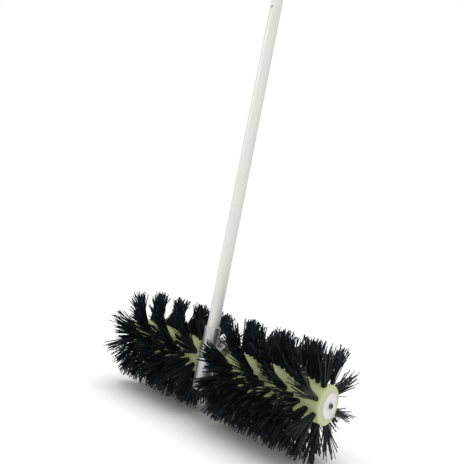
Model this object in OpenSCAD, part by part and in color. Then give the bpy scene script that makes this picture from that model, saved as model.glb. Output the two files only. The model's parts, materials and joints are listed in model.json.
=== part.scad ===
// Powered bristle sweeper attachment: a boom with a drive shaft inside, a worm gearbox at its
// foot and two tufted brush drums on one axle. Millimetres. Everything is drawn about the axle
// (X along the axle, Z up the boom) and then placed with the boom's free end at the origin.

/* [Boom] */
// Height of the boom's free end above the axle
boom_top = 785; // [500:1:1000]
// Outside diameter of the boom tube
boom_d = 25.4; // [25.4:0.1:25.6]
// Wall of the boom tube
boom_wall = 1.6; // [1.4:0.1:1.8]
// Depth of the boom's end that goes into the power head's coupler
insert_depth = 70; // [50:1:90]
// Distance of the locating hole from the boom's free end
locating_drop = 19; // [15:1:30]
// Diameter of the locating hole
locating_d = 6; // [4:0.5:8]
// How far the drive shaft's square end lies below the boom's free end
shaft_recess = 20; // [15:1:30]

/* [Brush drums] */
// Diameter over the bristle tips
brush_d = 219; // [200:1:230]
// Diameter of a drum's core
core_d = 72; // [70:1:74]
// Length of a drum's core
core_length = 232; // [225:1:260]
// Bore of a drum's core
core_bore_d = 45; // [44:1:46]
// Helical rows of tufts on each drum
tuft_rows = 8; // [8]
// Tufts in each row
row_tufts = 14; // [10:1:14]
// Spacing of a row's tufts along the axle
tuft_pitch = 16.35; // [16:0.05:16.5]
// Length of drum over which a row would go once round
row_lead = 558; // [500:1:620]
// Diameter of a tuft at its tips
tuft_tip_d = 22; // [16:1:22]

/* [Worm gear] */
// Module of the worm and its wheel
gear_module = 2; // [2]
// Teeth of the worm wheel
wheel_teeth = 34; // [34]
// Pitch diameter of the worm
worm_pitch_d = 22; // [22]
// Width of the worm wheel's rim
wheel_w = 14; // [10:1:14]
// Length of the worm
worm_length = 28; // [24:1:28]

/* [Hidden] */
$fn = 64;
eps = 0.01;

// Colours
paint_white = [0.88, 0.89, 0.88];
cast_grey = [0.66, 0.67, 0.68];
core_green = [0.60, 0.67, 0.38];
hub_white = [0.86, 0.84, 0.83];
bristle_black = [0.05, 0.06, 0.07];
steel_grey = [0.70, 0.71, 0.73];
dark_steel = [0.18, 0.18, 0.19];
bronze = [0.75, 0.55, 0.28];
rubber_black = [0.08, 0.08, 0.08];
gasket_brown = [0.45, 0.38, 0.28];

// Fits
running = 0.05;      // radial, shaft in bush or seal
seat = 0.02;         // radial, bearing in its seat
loose = 0.1;         // radial, parts slid together

// Worm and wheel
worm_pitch_r = worm_pitch_d / 2;
wheel_pitch_r = gear_module * wheel_teeth / 2;
gear_centres = worm_pitch_r + wheel_pitch_r;
worm_lead = PI * gear_module;
pressure_angle = 20;
flank_relief = 0.16;                  // taken off each flank, for backlash
worm_tip_r = worm_pitch_r + 1.0 * gear_module;
worm_root_r = worm_pitch_r - 1.2 * gear_module;
wheel_tip_r = wheel_pitch_r + 0.95 * gear_module;
wheel_root_r = wheel_pitch_r - 1.2 * gear_module;
wheel_base_r = wheel_pitch_r * cos(pressure_angle);
worm_lead_angle = atan(worm_lead / (2 * PI * worm_pitch_r));
wheel_twist = wheel_w * tan(worm_lead_angle) / wheel_pitch_r * 180 / PI;
wheel_rim_bore_r = 24;
wheel_hub_half = 9.9;

// Bearings: [bore radius, outer radius, width, pitch radius, ball radius, ball count]
worm_bearing = [6, 14, 8, 10.05, 2.05, 9];
axle_bearing = [8.5, 20, 12, 14.25, 3.2, 8];
worm_bearing_z = 22.8;                // centre, above and below the wheel's axis
axle_bearing_x = 16;                  // centre, each side of the wheel

// Gear case
case_wall = 4.5;
worm_bore_r = worm_bearing[1] + seat;
worm_case_r = worm_bearing[1] + case_wall;
worm_case_bottom = -48;
chamber_r = wheel_tip_r + 1.6;
chamber_half = 9.5;
case_r = chamber_r + 5.5;
flange_r = chamber_r + 10;
case_left = -14;
flange_left = 10.5;
parting_x = 18.5;                     // face of the case that the cover is screwed to
gasket_t = 0.5;
cover_t = 4.5;
cover_x = parting_x + gasket_t;
boss_r = 25;
boss_x = 29.5;                        // outer faces of the axle bosses
seal_x = 23.3;                        // inner faces of the axle seals
seal_w = 6;
seal_r = 16;
shoulder_r = 13;                      // bore between a bearing and its seal
screw_circle_r = 42.4;
screw_angles = [38, 90, 142, -142, -90, -38];   // about the axle, from straight ahead
cover_tap_r = 2.1;
cover_tap_depth = 6.5;

// Collar that clamps the boom
collar_bottom = 38;
collar_top = 77;
collar_r = 16.5;
boom_seat_z = 42;
boom_r = boom_d / 2;
boom_bore_r = boom_r - boom_wall;
ear_low = 42;
ear_high = 56;
ear_half = 9;
ear_out = 29;
ear_screw_y = 22;
clamp_slot = 2;
clamp_screw_r = 2.45;
lock_screw_z = 70;
lock_screw_r = 2.5;
shaft_passage_r = 9.2;
worm_seal_r = 11;
worm_seal_w = 5.5;

// Drive line
shaft_r = 4;
shaft_square = 5.6;
shaft_square_length = 18;
shaft_low = 36;
socket_top = 54;
socket_r = 7.6;
socket_low = worm_bearing_z + worm_bearing[2] / 2 + 0.7;
worm_shaft_low = -32;
bush_r = 6;
bush_length = 22;
carrier_length = 28;
bush_heights = [140, 430, 715];

// Axle and drums
axle_r = 8.5;
axle_end_r = 8;
axle_step = 29.8;
axle_half = 258;
key_w = 5;
key_low = 5.6;
core_x = 33;                          // inner end of a drum core, from the middle
core_end = core_x + core_length;
core_r = core_d / 2;
hub_r = core_bore_d / 2 - running;
inner_hub_proud = 2;
outer_hub_proud = 3;
hub_flange_r = 26;                    // laps over the core's outer end
hub_depth = 16;
pin_x = 34.5;
pin_r = 2.95;
pin_length = 36;
pin_slot_depth = 7;
end_screw_r = 2.95;
end_screw_length = 24;
end_head_r = 5.2;
end_head_h = 5;
end_pocket_r = 5.5;
end_pocket_depth = 2;

// Tufts
tuft_first_x = 44;                    // innermost tuft of each row
tuft_hole_r = 3.7;
tuft_hole_floor = 26;
tuft_foot = 27;
tuft_foot_r = 2.4;
right_row_angle = 20;                 // of the first row's outermost tuft, up from straight ahead
left_row_angle = 52;

// ---- frames and small helpers -------------------------------------------------------------

// The boom's free end is the origin, and the axle lies below and behind it
module place() { translate([0, gear_centres, -boom_top]) children(); }

// Local Z becomes the axle's direction, +X
module along_axle() { rotate([0, 90, 0]) children(); }

// A ring about local Z, from z = low to z = high
module ring(inner, outer, low, high) {
    difference() {
        translate([0, 0, low]) cylinder(r = outer, h = high - low);
        translate([0, 0, low - 1]) cylinder(r = inner, h = high - low + 2);
    }
}

// A disc about the axle, from x = low to x = high
module axle_disc(r, low, high) { along_axle() translate([0, 0, low]) cylinder(r = r, h = high - low); }

module axle_ring(inner, outer, low, high) { along_axle() ring(inner, outer, low, high); }

// Both sides of the gearbox alike
module both_sides() { for (side = [0, 1]) mirror([side, 0, 0]) children(); }

// On the worm's and boom's common line
module on_boom() { translate([0, -gear_centres, 0]) children(); }

// At an angle about the axle, measured up from straight ahead; local X then points outwards
module around_axle(angle) { rotate([-angle, 0, 0]) rotate([0, 0, -90]) children(); }

// A socket screw along local Z, its head on +Z above z = 0
module socket_screw(shank_r, length, head_r, head_h, socket_af) {
    difference() {
        union() {
            translate([0, 0, -length]) cylinder(r = shank_r, h = length + eps);
            cylinder(r = head_r, h = head_h);
        }
        translate([0, 0, head_h * 0.45])
            cylinder(d = socket_af / cos(30), h = head_h, $fn = 6);
    }
}

// A hexagon screw along local Z with a washer face, its head on +Z above z = 0
module hex_screw(shank_r, length, across_flats, head_h) {
    translate([0, 0, -length]) cylinder(r = shank_r, h = length + eps);
    cylinder(r = across_flats * 0.62, h = 0.9);
    translate([0, 0, 0.9 - eps]) cylinder(d = across_flats / cos(30), h = head_h, $fn = 6);
}

// ---- boom ---------------------------------------------------------------------------------

module boom_tube() color(paint_white) place() on_boom() difference() {
    ring(boom_bore_r, boom_r, boom_seat_z + 0.5, boom_top);
    translate([0, 0, boom_top - insert_depth - 1.2]) ring(boom_r - 0.35, boom_r + 1, 0, 1.2);
    translate([0, 0, boom_top - locating_drop]) rotate([90, 0, 0])
        cylinder(d = locating_d, h = boom_r + 1);
    translate([0, 0, lock_screw_z]) rotate([0, -90, 0]) cylinder(r = lock_screw_r + loose, h = boom_r + 1);
}

module shaft_bush_carriers() color(rubber_black) place() on_boom()
    for (z = bush_heights)
        ring(bush_r + running, boom_bore_r - running, z - carrier_length / 2, z + carrier_length / 2);

module shaft_bushes() color(bronze) place() on_boom()
    for (z = bush_heights)
        ring(shaft_r + running, bush_r, z - bush_length / 2, z + bush_length / 2);

// ---- gear case ----------------------------------------------------------------------------

// The bored-out shape shared by the case and its cover: chamber, bearing seats and seal seats
module axle_line_bores() {
    both_sides() {
        axle_disc(axle_bearing[1] + seat, chamber_half - eps, axle_bearing_x + axle_bearing[2] / 2);
        axle_disc(shoulder_r, 20, boss_x + 1);
        axle_disc(seal_r + seat, seal_x, boss_x + 1);
    }
}

module worm_line_bores() on_boom() {
    translate([0, 0, worm_case_bottom - 1])
        cylinder(r = worm_bore_r, h = worm_bearing_z + worm_bearing[2] / 2 + 0.2 - worm_case_bottom + 1);
    cylinder(r = worm_seal_r + seat, h = socket_low + worm_seal_w);
    cylinder(r = shaft_passage_r, h = boom_seat_z + 1);
    translate([0, 0, boom_seat_z]) cylinder(r = boom_r + running, h = collar_top);
}

// Room that the cover and its gasket leave for the round worm housing
module worm_case_room() on_boom() translate([0, 0, -60]) cylinder(r = worm_case_r + 0.3, h = 120);

module clamp_ears() on_boom()
    translate([-ear_half, 10, ear_low]) cube([2 * ear_half, ear_out - 10, ear_high - ear_low]);

// Web that stiffens the neck against the wheel chamber
module neck_web() translate([-4, -gear_centres, 0]) rotate([90, 0, 90])
    linear_extrude(8) polygon([[12, 30], [gear_centres, 30], [gear_centres - 6, 42], [16, 48], [12, 48]]);

module cover_screw_seats(r, low, high)
    for (a = screw_angles) around_axle(a)
        translate([screw_circle_r, 0, 0]) rotate([0, 0, 90]) axle_disc(r, low, high);

module gear_case() color(cast_grey) place() difference() {
    union() {
        on_boom() translate([0, 0, worm_case_bottom])
            cylinder(r = worm_case_r, h = collar_bottom - worm_case_bottom);
        on_boom() translate([0, 0, collar_bottom - eps])
            cylinder(r = collar_r, h = collar_top - collar_bottom + eps);
        clamp_ears();
        neck_web();
        axle_disc(case_r, case_left, flange_left + 1);
        axle_disc(flange_r, flange_left, parting_x);
        axle_disc(boss_r, -boss_x, case_left + 1);
        around_axle(120) translate([case_r - 2, 0, 0]) rotate([0, 90, 0]) cylinder(r = 7, h = 5);
    }
    axle_disc(chamber_r, -chamber_half, parting_x + 1);
    axle_line_bores();
    worm_line_bores();
    cover_screw_seats(cover_tap_r, parting_x - cover_tap_depth, parting_x + 1);
    on_boom() translate([-clamp_slot / 2, 8, boom_seat_z]) cube([clamp_slot, ear_out, collar_top]);
    on_boom() translate([0, ear_screw_y, (ear_low + ear_high) / 2]) rotate([0, 90, 0])
        translate([0, 0, -ear_half - 1]) cylinder(r = clamp_screw_r + running, h = 2 * ear_half + 2);
    on_boom() translate([0, 0, lock_screw_z]) rotate([0, -90, 0])
        cylinder(r = lock_screw_r + running, h = collar_r + 1);
    around_axle(120) rotate([0, 90, 0]) translate([0, 0, chamber_r - 2]) cylinder(r = 4, h = 12);
}

module side_cover() color(cast_grey) place() difference() {
    union() {
        axle_disc(flange_r, cover_x, cover_x + cover_t);
        axle_disc(chamber_r - loose, chamber_half, cover_x + eps);
        axle_disc(boss_r, cover_x, boss_x);
    }
    axle_line_bores();
    worm_case_room();
    cover_screw_seats(2.7, cover_x - 1, cover_x + cover_t + 1);
    axle_ring(27, chamber_r - 4, chamber_half - 1, parting_x);
}

module cover_gasket() color(gasket_brown) place() difference() {
    axle_ring(chamber_r + 0.3, flange_r, parting_x, cover_x);
    worm_case_room();
    cover_screw_seats(2.7, parting_x - 1, cover_x + 1);
}

module cover_screws() color(steel_grey) place()
    for (a = screw_angles) around_axle(a) translate([screw_circle_r, 0, 0]) rotate([0, 0, 90])
        along_axle() translate([0, 0, cover_x + cover_t]) hex_screw(cover_tap_r - running, 11, 8, 3.5);

module clamp_screw() color(steel_grey) place() on_boom()
    translate([ear_half, ear_screw_y, (ear_low + ear_high) / 2]) rotate([0, 90, 0])
        socket_screw(clamp_screw_r, 2 * ear_half, 4.25, 5, 4);

module boom_lock_screw() color(dark_steel) place() on_boom()
    translate([-collar_r - 0.3, 0, lock_screw_z]) rotate([0, -90, 0])
        socket_screw(lock_screw_r, collar_r - boom_bore_r - 0.5, 4.4, 3, 3);

module worm_end_plug() color(steel_grey) place() on_boom() difference() {
    union() {
        translate([0, 0, worm_case_bottom - eps]) cylinder(r = worm_bore_r - running, h = 10);
        translate([0, 0, worm_case_bottom - 3]) cylinder(r = worm_case_r - 1, h = 3);
    }
    translate([0, 0, worm_case_bottom - 4]) cylinder(r = 5, h = 7, $fn = 6);
}

module worm_spacer_sleeve() color(steel_grey) place() on_boom()
    ring(worm_bearing[1] - 2.5, worm_bore_r - loose, worm_case_bottom + 10.2,
         -worm_bearing_z - worm_bearing[2] / 2 - 0.1);

module grease_plug() color(dark_steel) place() around_axle(120) rotate([0, 90, 0])
    translate([0, 0, case_r + 3]) hex_screw(4 - running, 8, 10, 4);

module worm_seal() color(rubber_black) place() on_boom()
    ring(socket_r + running, worm_seal_r, socket_low + 0.1, socket_low + worm_seal_w);

module axle_seals() color(rubber_black) place() both_sides()
    axle_ring(axle_r + running, seal_r, seal_x + 0.1, seal_x + seal_w);

// ---- bearings -----------------------------------------------------------------------------

module outer_race(b) difference() {
    ring(b[3] + b[4] * 0.74, b[1], -b[2] / 2, b[2] / 2);
    rotate_extrude() translate([b[3], 0]) circle(r = b[4] + loose);
}

module inner_race(b) difference() {
    ring(b[0], b[3] - b[4] * 0.74, -b[2] / 2, b[2] / 2);
    rotate_extrude() translate([b[3], 0]) circle(r = b[4] + loose);
}

module balls(b) for (i = [0 : b[5] - 1])
    rotate([0, 0, i * 360 / b[5]]) translate([b[3], 0, 0]) sphere(r = b[4]);

module at_worm_bearings() on_boom()
    for (z = [-worm_bearing_z, worm_bearing_z]) translate([0, 0, z]) children();

module at_axle_bearings() both_sides() along_axle() translate([0, 0, axle_bearing_x]) children();

module worm_bearing_outer_rings() color(steel_grey) place() at_worm_bearings() outer_race(worm_bearing);
module worm_bearing_inner_rings() color(steel_grey) place() at_worm_bearings() inner_race(worm_bearing);
module worm_bearing_balls() color(steel_grey) place() at_worm_bearings() balls(worm_bearing);
module axle_bearing_outer_rings() color(steel_grey) place() at_axle_bearings() outer_race(axle_bearing);
module axle_bearing_inner_rings() color(steel_grey) place() at_axle_bearings() inner_race(axle_bearing);
module axle_bearing_balls() color(steel_grey) place() at_axle_bearings() balls(axle_bearing);

// ---- drive line ---------------------------------------------------------------------------

module square_end(low, high)
    translate([-shaft_square / 2, -shaft_square / 2, low]) cube([shaft_square, shaft_square, high - low]);

module drive_shaft() color(steel_grey) place() on_boom() {
    round_low = shaft_low + shaft_square_length;
    round_high = boom_top - shaft_recess - shaft_square_length;
    translate([0, 0, round_low]) cylinder(r = shaft_r, h = round_high - round_low);
    square_end(shaft_low, round_low + eps);
    square_end(round_high - eps, round_high + shaft_square_length);
}

module worm_shaft() color(steel_grey) place() on_boom() difference() {
    union() {
        translate([0, 0, worm_shaft_low]) cylinder(r = worm_bearing[0] - seat, h = socket_low - worm_shaft_low + eps);
        translate([0, 0, socket_low]) cylinder(r = socket_r, h = socket_top - socket_low);
    }
    translate([0, 0, shaft_low - 2]) linear_extrude(30) square(shaft_square + 0.2, center = true);
}

// Radius of the worm's thread at an angle round it, for a straight-sided axial section
function thread_half(r) = worm_lead / 4 - flank_relief - (r - worm_pitch_r) * tan(pressure_angle);
function thread_angle(r) = 360 * thread_half(r) / worm_lead;
flank_steps = 4;
thread_flank = [for (i = [0 : flank_steps]) worm_root_r + (worm_tip_r - worm_root_r) * i / flank_steps];
function polar(r, a) = [r * cos(a), r * sin(a)];
root_arc = [for (i = [1 : 5]) thread_angle(worm_root_r) + (360 - 2 * thread_angle(worm_root_r)) * i / 6];
thread_section = concat(
    [for (r = thread_flank) polar(r, -thread_angle(r))],
    [for (i = [1 : 3]) polar(worm_tip_r, thread_angle(worm_tip_r) * (i / 2 - 1))],
    [for (i = [flank_steps : -1 : 0]) polar(thread_flank[i], thread_angle(thread_flank[i]))],
    [for (a = root_arc) polar(worm_root_r, a)]);
slices_per_turn = 20;

// The thread's crest faces the wheel (+Y) at the middle of the worm's length
module worm() color(steel_grey) place() on_boom()
    translate([0, 0, -worm_length / 2]) rotate([0, 0, 90 - 180 * worm_length / worm_lead])
        difference() {
            linear_extrude(worm_length, twist = -360 * worm_length / worm_lead,
                           slices = ceil(slices_per_turn * worm_length / worm_lead), $fn = 12)
                polygon(thread_section);
            translate([0, 0, -1]) cylinder(r = worm_bearing[0] + running, h = worm_length + 2);
        }

// Spacers between worm and bearings, and the ring that holds the lower bearing on the shaft
module worm_collars() color(steel_grey) place() on_boom() {
    collar_gap = 0.1;
    both_ends = worm_bearing_z - worm_bearing[2] / 2 - collar_gap;
    ring(worm_bearing[0] + running, 8, worm_length / 2 + collar_gap, both_ends);
    ring(worm_bearing[0] + running, 8, -both_ends, -worm_length / 2 - collar_gap);
    ring(worm_bearing[0] + running, 8.6, -worm_bearing_z - 5.7, -worm_bearing_z - 4.2);
}

// ---- worm wheel and axle ------------------------------------------------------------------

// Involute tooth of the wheel: half angle of the tooth at radius r, in degrees
function involute(r) = let (a = acos(min(1, wheel_base_r / r))) tan(a) * 180 / PI - a;
half_tooth_at_pitch = 90 / wheel_teeth - flank_relief * 0.6 / wheel_pitch_r * 180 / PI;
function half_tooth(r) = half_tooth_at_pitch + involute(wheel_pitch_r) - involute(max(r, wheel_base_r));
tooth_steps = 4;
tooth_radii = concat([wheel_root_r],
    [for (i = [0 : tooth_steps]) wheel_base_r + (wheel_tip_r - wheel_base_r) * i / tooth_steps]);

// A gap between teeth lies on local +X
wheel_section = [for (tooth = [0 : wheel_teeth - 1]) let (middle = (tooth + 0.5) * 360 / wheel_teeth)
    each concat([for (r = tooth_radii) polar(r, middle - half_tooth(r))],
                [for (i = [len(tooth_radii) - 1 : -1 : 0]) polar(tooth_radii[i], middle + half_tooth(tooth_radii[i]))])];

module worm_wheel_rim() color(bronze) place() along_axle() rotate([0, 0, -90])
    translate([0, 0, -wheel_w / 2]) rotate([0, 0, -wheel_twist / 2])
        linear_extrude(wheel_w, twist = -wheel_twist, slices = 4)
            difference() {
                polygon(wheel_section);
                circle(r = wheel_rim_bore_r, $fn = 64);
            }

module worm_wheel_hub() color(cast_grey) place() difference() {
    union() {
        axle_ring(axle_r + running, wheel_rim_bore_r - 0.1, -5, 5);
        axle_ring(axle_r + running, 14, -wheel_hub_half, wheel_hub_half);
        axle_ring(20, wheel_rim_bore_r - 0.1, -wheel_w / 2, wheel_w / 2);
    }
    translate([-wheel_hub_half - 1, -key_w / 2 - running, 0])
        cube([2 * wheel_hub_half + 2, key_w + 2 * running, key_low + key_w + loose]);
}

module wheel_key() color(steel_grey) place()
    translate([-wheel_w / 2, -key_w / 2, key_low]) cube([wheel_w, key_w, key_w]);

module axle() color(steel_grey) place() difference() {
    union() {
        axle_disc(axle_r - seat, -axle_step, axle_step);
        axle_disc(axle_end_r, -axle_half, axle_half);
    }
    translate([-wheel_w / 2 - loose, -key_w / 2 - running, key_low - loose])
        cube([wheel_w + 2 * loose, key_w + 2 * running, key_w]);
    both_sides() {
        axle_disc(end_screw_r + running, axle_half - end_screw_length, axle_half + 1);
        translate([pin_x, 0, -axle_r - 1]) cylinder(r = pin_r + running, h = 2 * axle_r + 2);
    }
}

module drive_pins() color(steel_grey) place() both_sides()
    translate([pin_x, 0, -pin_length / 2]) cylinder(r = pin_r, h = pin_length);

// ---- drums --------------------------------------------------------------------------------

// Angle of tuft i (0 is innermost) of a row on the drum on that side (+1 right, -1 left)
function tuft_x(side, i) = side * (tuft_first_x + i * tuft_pitch);
function tuft_angle(side, row, i) =
    (side > 0 ? right_row_angle : left_row_angle) + (row - 1) * 360 / tuft_rows
    + (tuft_x(1, row_tufts - 1) - tuft_x(side, i)) * 360 / row_lead;

module at_tuft(side, row, i)
    translate([tuft_x(side, i), 0, 0]) around_axle(tuft_angle(side, row, i)) rotate([0, 90, 0]) children();

module drum_core(side) color(core_green) place() difference() {
    mirror([side > 0 ? 0 : 1, 0, 0]) difference() {
        axle_ring(core_bore_d / 2, core_r, core_x, core_end);
        axle_ring(core_r - 1.5, core_r + 1, core_end - 0.8, core_end + 1);
    }
    for (row = [1 : tuft_rows], i = [0 : row_tufts - 1])
        at_tuft(side, row, i) translate([0, 0, tuft_hole_floor]) cylinder(r = tuft_hole_r, h = core_r, $fn = 32);
}

module inner_hub(side) color(hub_white) place() mirror([side > 0 ? 0 : 1, 0, 0]) difference() {
    axle_ring(axle_end_r + running, hub_r, core_x - inner_hub_proud, core_x + hub_depth);
    translate([core_x - inner_hub_proud - 1, -pin_r - loose, -pin_length / 2 - 0.5])
        cube([pin_slot_depth + 1, 2 * (pin_r + loose), pin_length + 1]);
}

module outer_hub(side) color(hub_white) place() mirror([side > 0 ? 0 : 1, 0, 0]) difference() {
    union() {
        axle_ring(end_screw_r + loose, hub_r, core_end - hub_depth, core_end + eps);
        axle_ring(end_screw_r + loose, hub_flange_r, core_end, core_end + outer_hub_proud);
    }
    axle_disc(axle_end_r + running, core_end - hub_depth - 1, axle_half + 0.3);
    axle_disc(end_pocket_r, core_end + outer_hub_proud - end_pocket_depth, core_end + outer_hub_proud + 1);
}

module end_screws() color(dark_steel) place() both_sides() along_axle()
    translate([0, 0, core_end + outer_hub_proud - end_pocket_depth])
        socket_screw(end_screw_r, end_screw_length, end_head_r, end_head_h, 5);

module tuft_row(side, row) color(bristle_black) place()
    for (i = [0 : row_tufts - 1])
        at_tuft(side, row, i) translate([0, 0, tuft_foot])
            cylinder(r1 = tuft_foot_r, r2 = tuft_tip_d / 2, h = brush_d / 2 - tuft_foot, $fn = 32);

// ---- what is drawn ------------------------------------------------------------------------

boom_tube();
shaft_bush_carriers();
shaft_bushes();
gear_case();
side_cover();
cover_gasket();
cover_screws();
clamp_screw();
boom_lock_screw();
worm_end_plug();
worm_spacer_sleeve();
grease_plug();
worm_seal();
axle_seals();
worm_bearing_outer_rings();
worm_bearing_balls();
axle_bearing_outer_rings();
axle_bearing_balls();
drive_shaft();
worm_shaft();
worm();
worm_collars();
worm_bearing_inner_rings();
axle();
worm_wheel_rim();
worm_wheel_hub();
wheel_key();
drive_pins();
axle_bearing_inner_rings();
drum_core(-1);  // left_drum_core
drum_core(1);  // right_drum_core
inner_hub(-1);  // left_inner_hub
inner_hub(1);  // right_inner_hub
outer_hub(-1);  // left_outer_hub
outer_hub(1);  // right_outer_hub
end_screws();
for (row = [1 : tuft_rows]) {
    tuft_row(-1, row);
    tuft_row(1, row);
}
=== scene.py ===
"""Looks of the powered bristle sweeper attachment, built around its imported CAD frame.

Metres, in the frame of the CAD part: the boom's free end is the origin, +Z runs up the boom and
+X along the brush axle. Pieces of the brush are modelled about the axle and then put in place.
"""

import json
import logging
import math
import random
from dataclasses import dataclass, field
from enum import Enum
from typing import Callable, Iterable

import bmesh
import bpy
from mathutils import Matrix, Vector


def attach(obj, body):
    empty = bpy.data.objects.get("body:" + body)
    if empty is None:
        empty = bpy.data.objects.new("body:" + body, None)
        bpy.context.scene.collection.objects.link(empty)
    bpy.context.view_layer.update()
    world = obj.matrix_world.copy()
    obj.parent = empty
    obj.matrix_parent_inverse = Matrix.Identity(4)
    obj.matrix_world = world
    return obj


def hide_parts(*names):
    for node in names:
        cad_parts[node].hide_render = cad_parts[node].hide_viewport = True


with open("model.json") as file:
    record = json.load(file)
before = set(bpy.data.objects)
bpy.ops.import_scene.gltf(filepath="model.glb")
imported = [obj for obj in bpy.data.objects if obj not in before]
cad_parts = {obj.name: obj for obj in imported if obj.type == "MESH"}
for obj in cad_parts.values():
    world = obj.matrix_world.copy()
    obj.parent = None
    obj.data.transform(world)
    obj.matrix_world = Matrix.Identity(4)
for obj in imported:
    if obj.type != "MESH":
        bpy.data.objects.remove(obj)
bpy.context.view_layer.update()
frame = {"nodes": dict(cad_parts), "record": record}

LOG = logging.getLogger("sweeper")
STRAND_TONE = "strand_tone"

AXLE = Vector((0.0, 0.045, -0.785))
ALONG = Vector((1.0, 0.0, 0.0))
UP = Vector((0.0, 0.0, 1.0))
FRONT = Vector((0.0, -1.0, 0.0))
NEAR = 0.00001  # two places closer than this count as one
FACING = 0.9  # a face looks along a direction when the cosine to its normal is past this
SEAM = 0.00005  # how far a sunk or raised wall leans in

Triple = tuple[float, float, float]
Colour = Triple
Piece = bpy.types.Object
Face = bmesh.types.BMFace
FaceTest = Callable[[Face], bool]
EdgeTest = Callable[[Vector, Vector], bool]
Tree = bpy.types.NodeTree
Node = bpy.types.Node
Socket = bpy.types.NodeSocket


def on_axle(x: float) -> Vector:
    """A point on the brush's axle."""
    return AXLE + ALONG * x


def on_boom(height: float) -> Vector:
    """A point on the boom's axis, at a height above the axle."""
    return Vector((0.0, 0.0, AXLE.z + height))


class Side(Enum):
    """The two drums, by the sign of their X."""

    LEFT = -1
    RIGHT = 1

    @property
    def prefix(self) -> str:
        """The side's name as the CAD nodes spell it."""
        return self.name.lower()


class Slot(Enum):
    """The material slots of the record."""

    BOOM = "boom_paint"
    CASE = "case_aluminium"
    CORE = "core_plastic"
    HUB = "hub_plastic"
    BRISTLE = "bristle"
    ZINC = "zinc_steel"
    DARK = "dark_steel"
    MACHINED = "machined_steel"
    BEARING = "bearing_steel"
    BRONZE = "bronze"
    RUBBER = "rubber"
    GASKET = "gasket"


class Body(Enum):
    """The rigid bodies of the CAD frame."""

    BOOM = "boom"
    BRUSH = "brush"


# ---- modelling by hand ----------------------------------------------------------------------


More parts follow.
